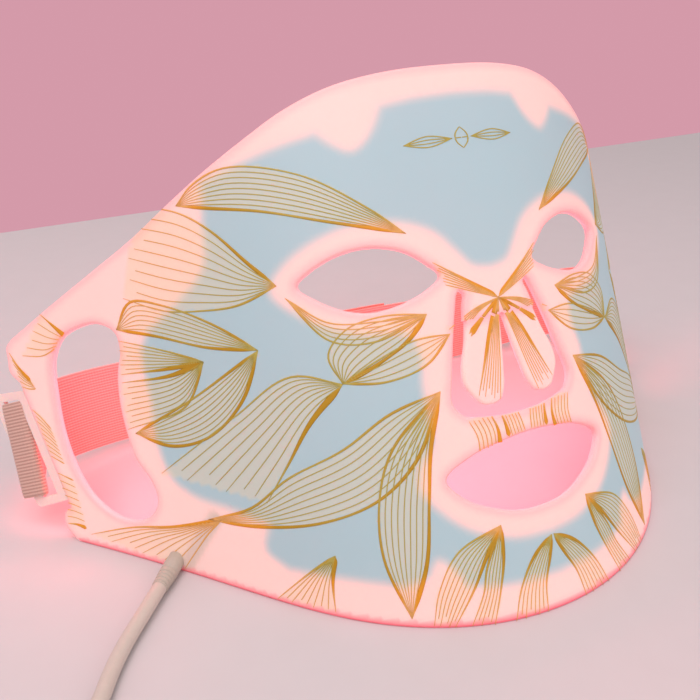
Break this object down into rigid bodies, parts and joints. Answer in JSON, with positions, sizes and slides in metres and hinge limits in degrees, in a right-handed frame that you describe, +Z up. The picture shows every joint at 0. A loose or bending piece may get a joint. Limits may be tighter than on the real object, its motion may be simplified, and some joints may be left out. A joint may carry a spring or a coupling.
{
  "type": "led face mask",
  "caption": "Flexible silicone light-therapy face mask with gold leaf print, side slots, hinged nose flaps, elastic straps and a coiled supply cord.",
  "frame": {"origin": "middle of the mask's flat lower edge under the chin, on the table", "axes": "+Z up, -Y out of the mask's front face, +X to the wearer's left, mask leaning back as it stands"},
  "size_m": [0.3562, 0.3281, 0.1676],
  "materials": {
    "silicone_front": "matte translucent",
    "silicone_liner": "matte translucent",
    "circuit_film": "satin",
    "led_red": "clear",
    "led_infrared": "clear",
    "component_black": "matte",
    "solder": "bright",
    "gold_ink": "satin",
    "elastic": "ribbed",
    "hook_tape": "hooked",
    "loop_tape": "looped",
    "cord_grey": "satin",
    "plug_metal": "brushed"
  },
  "bodies": {
    "mask": {"front_cover": "silicone_front", "rear_liner": "silicone_liner", "bonding_frame": "silicone_liner", "flex_circuit": "circuit_film", "leds_red": "led_red", "leds_infrared": "led_infrared", "resistors": "component_black", "driver_chips": "component_black", "terminal_pads": "solder", "stiffener": "circuit_film", "gold_print": "gold_ink", "strap_tab_left": "silicone_front", "strap_tab_right": "silicone_front", "strap_loop_left": "elastic", "strap_loop_right": "elastic", "cable_boss": "silicone_liner", "cable_gland": "cord_grey", "lead_sleeve": "cord_grey", "cord_tube": "cord_grey", "cord_coil": "cord_grey", "cord_tie": "component_black", "plug_overmould": "cord_grey", "plug_shell": "plug_metal", "plug_tongue": "component_black"},
    "nose_flap_left": {"nose_leg_left": "silicone_front"},
    "nose_flap_right": {"nose_leg_right": "silicone_front"},
    "strap_l": {"strap_left": "elastic", "hook_patch": "hook_tape"},
    "strap_r": {"strap_right": "elastic", "loop_patch": "loop_tape"}
  },
  "joints": [
    {"name": "nose_flap_left_bend", "type": "hinge", "parent": "mask", "child": "nose_flap_left", "pos_m": [0, 0.04463, 0.08973], "axis": [1, 0, 0], "range_deg": [-15, 15]},
    {"name": "nose_flap_right_bend", "type": "hinge", "parent": "mask", "child": "nose_flap_right", "pos_m": [0, 0.04463, 0.08973], "axis": [1, 0, 0], "range_deg": [-15, 15]},
    {"name": "strap_left_swing", "type": "hinge", "parent": "mask", "child": "strap_l", "pos_m": [-0.14539, 0.15942, 0.0105], "axis": [0, 0, 1], "range_deg": [0, 75]},
    {"name": "strap_right_swing", "type": "hinge", "parent": "mask", "child": "strap_r", "pos_m": [0.14537, 0.15943, 0.0105], "axis": [0, 0, 1], "range_deg": [0, 45]}
  ]
}
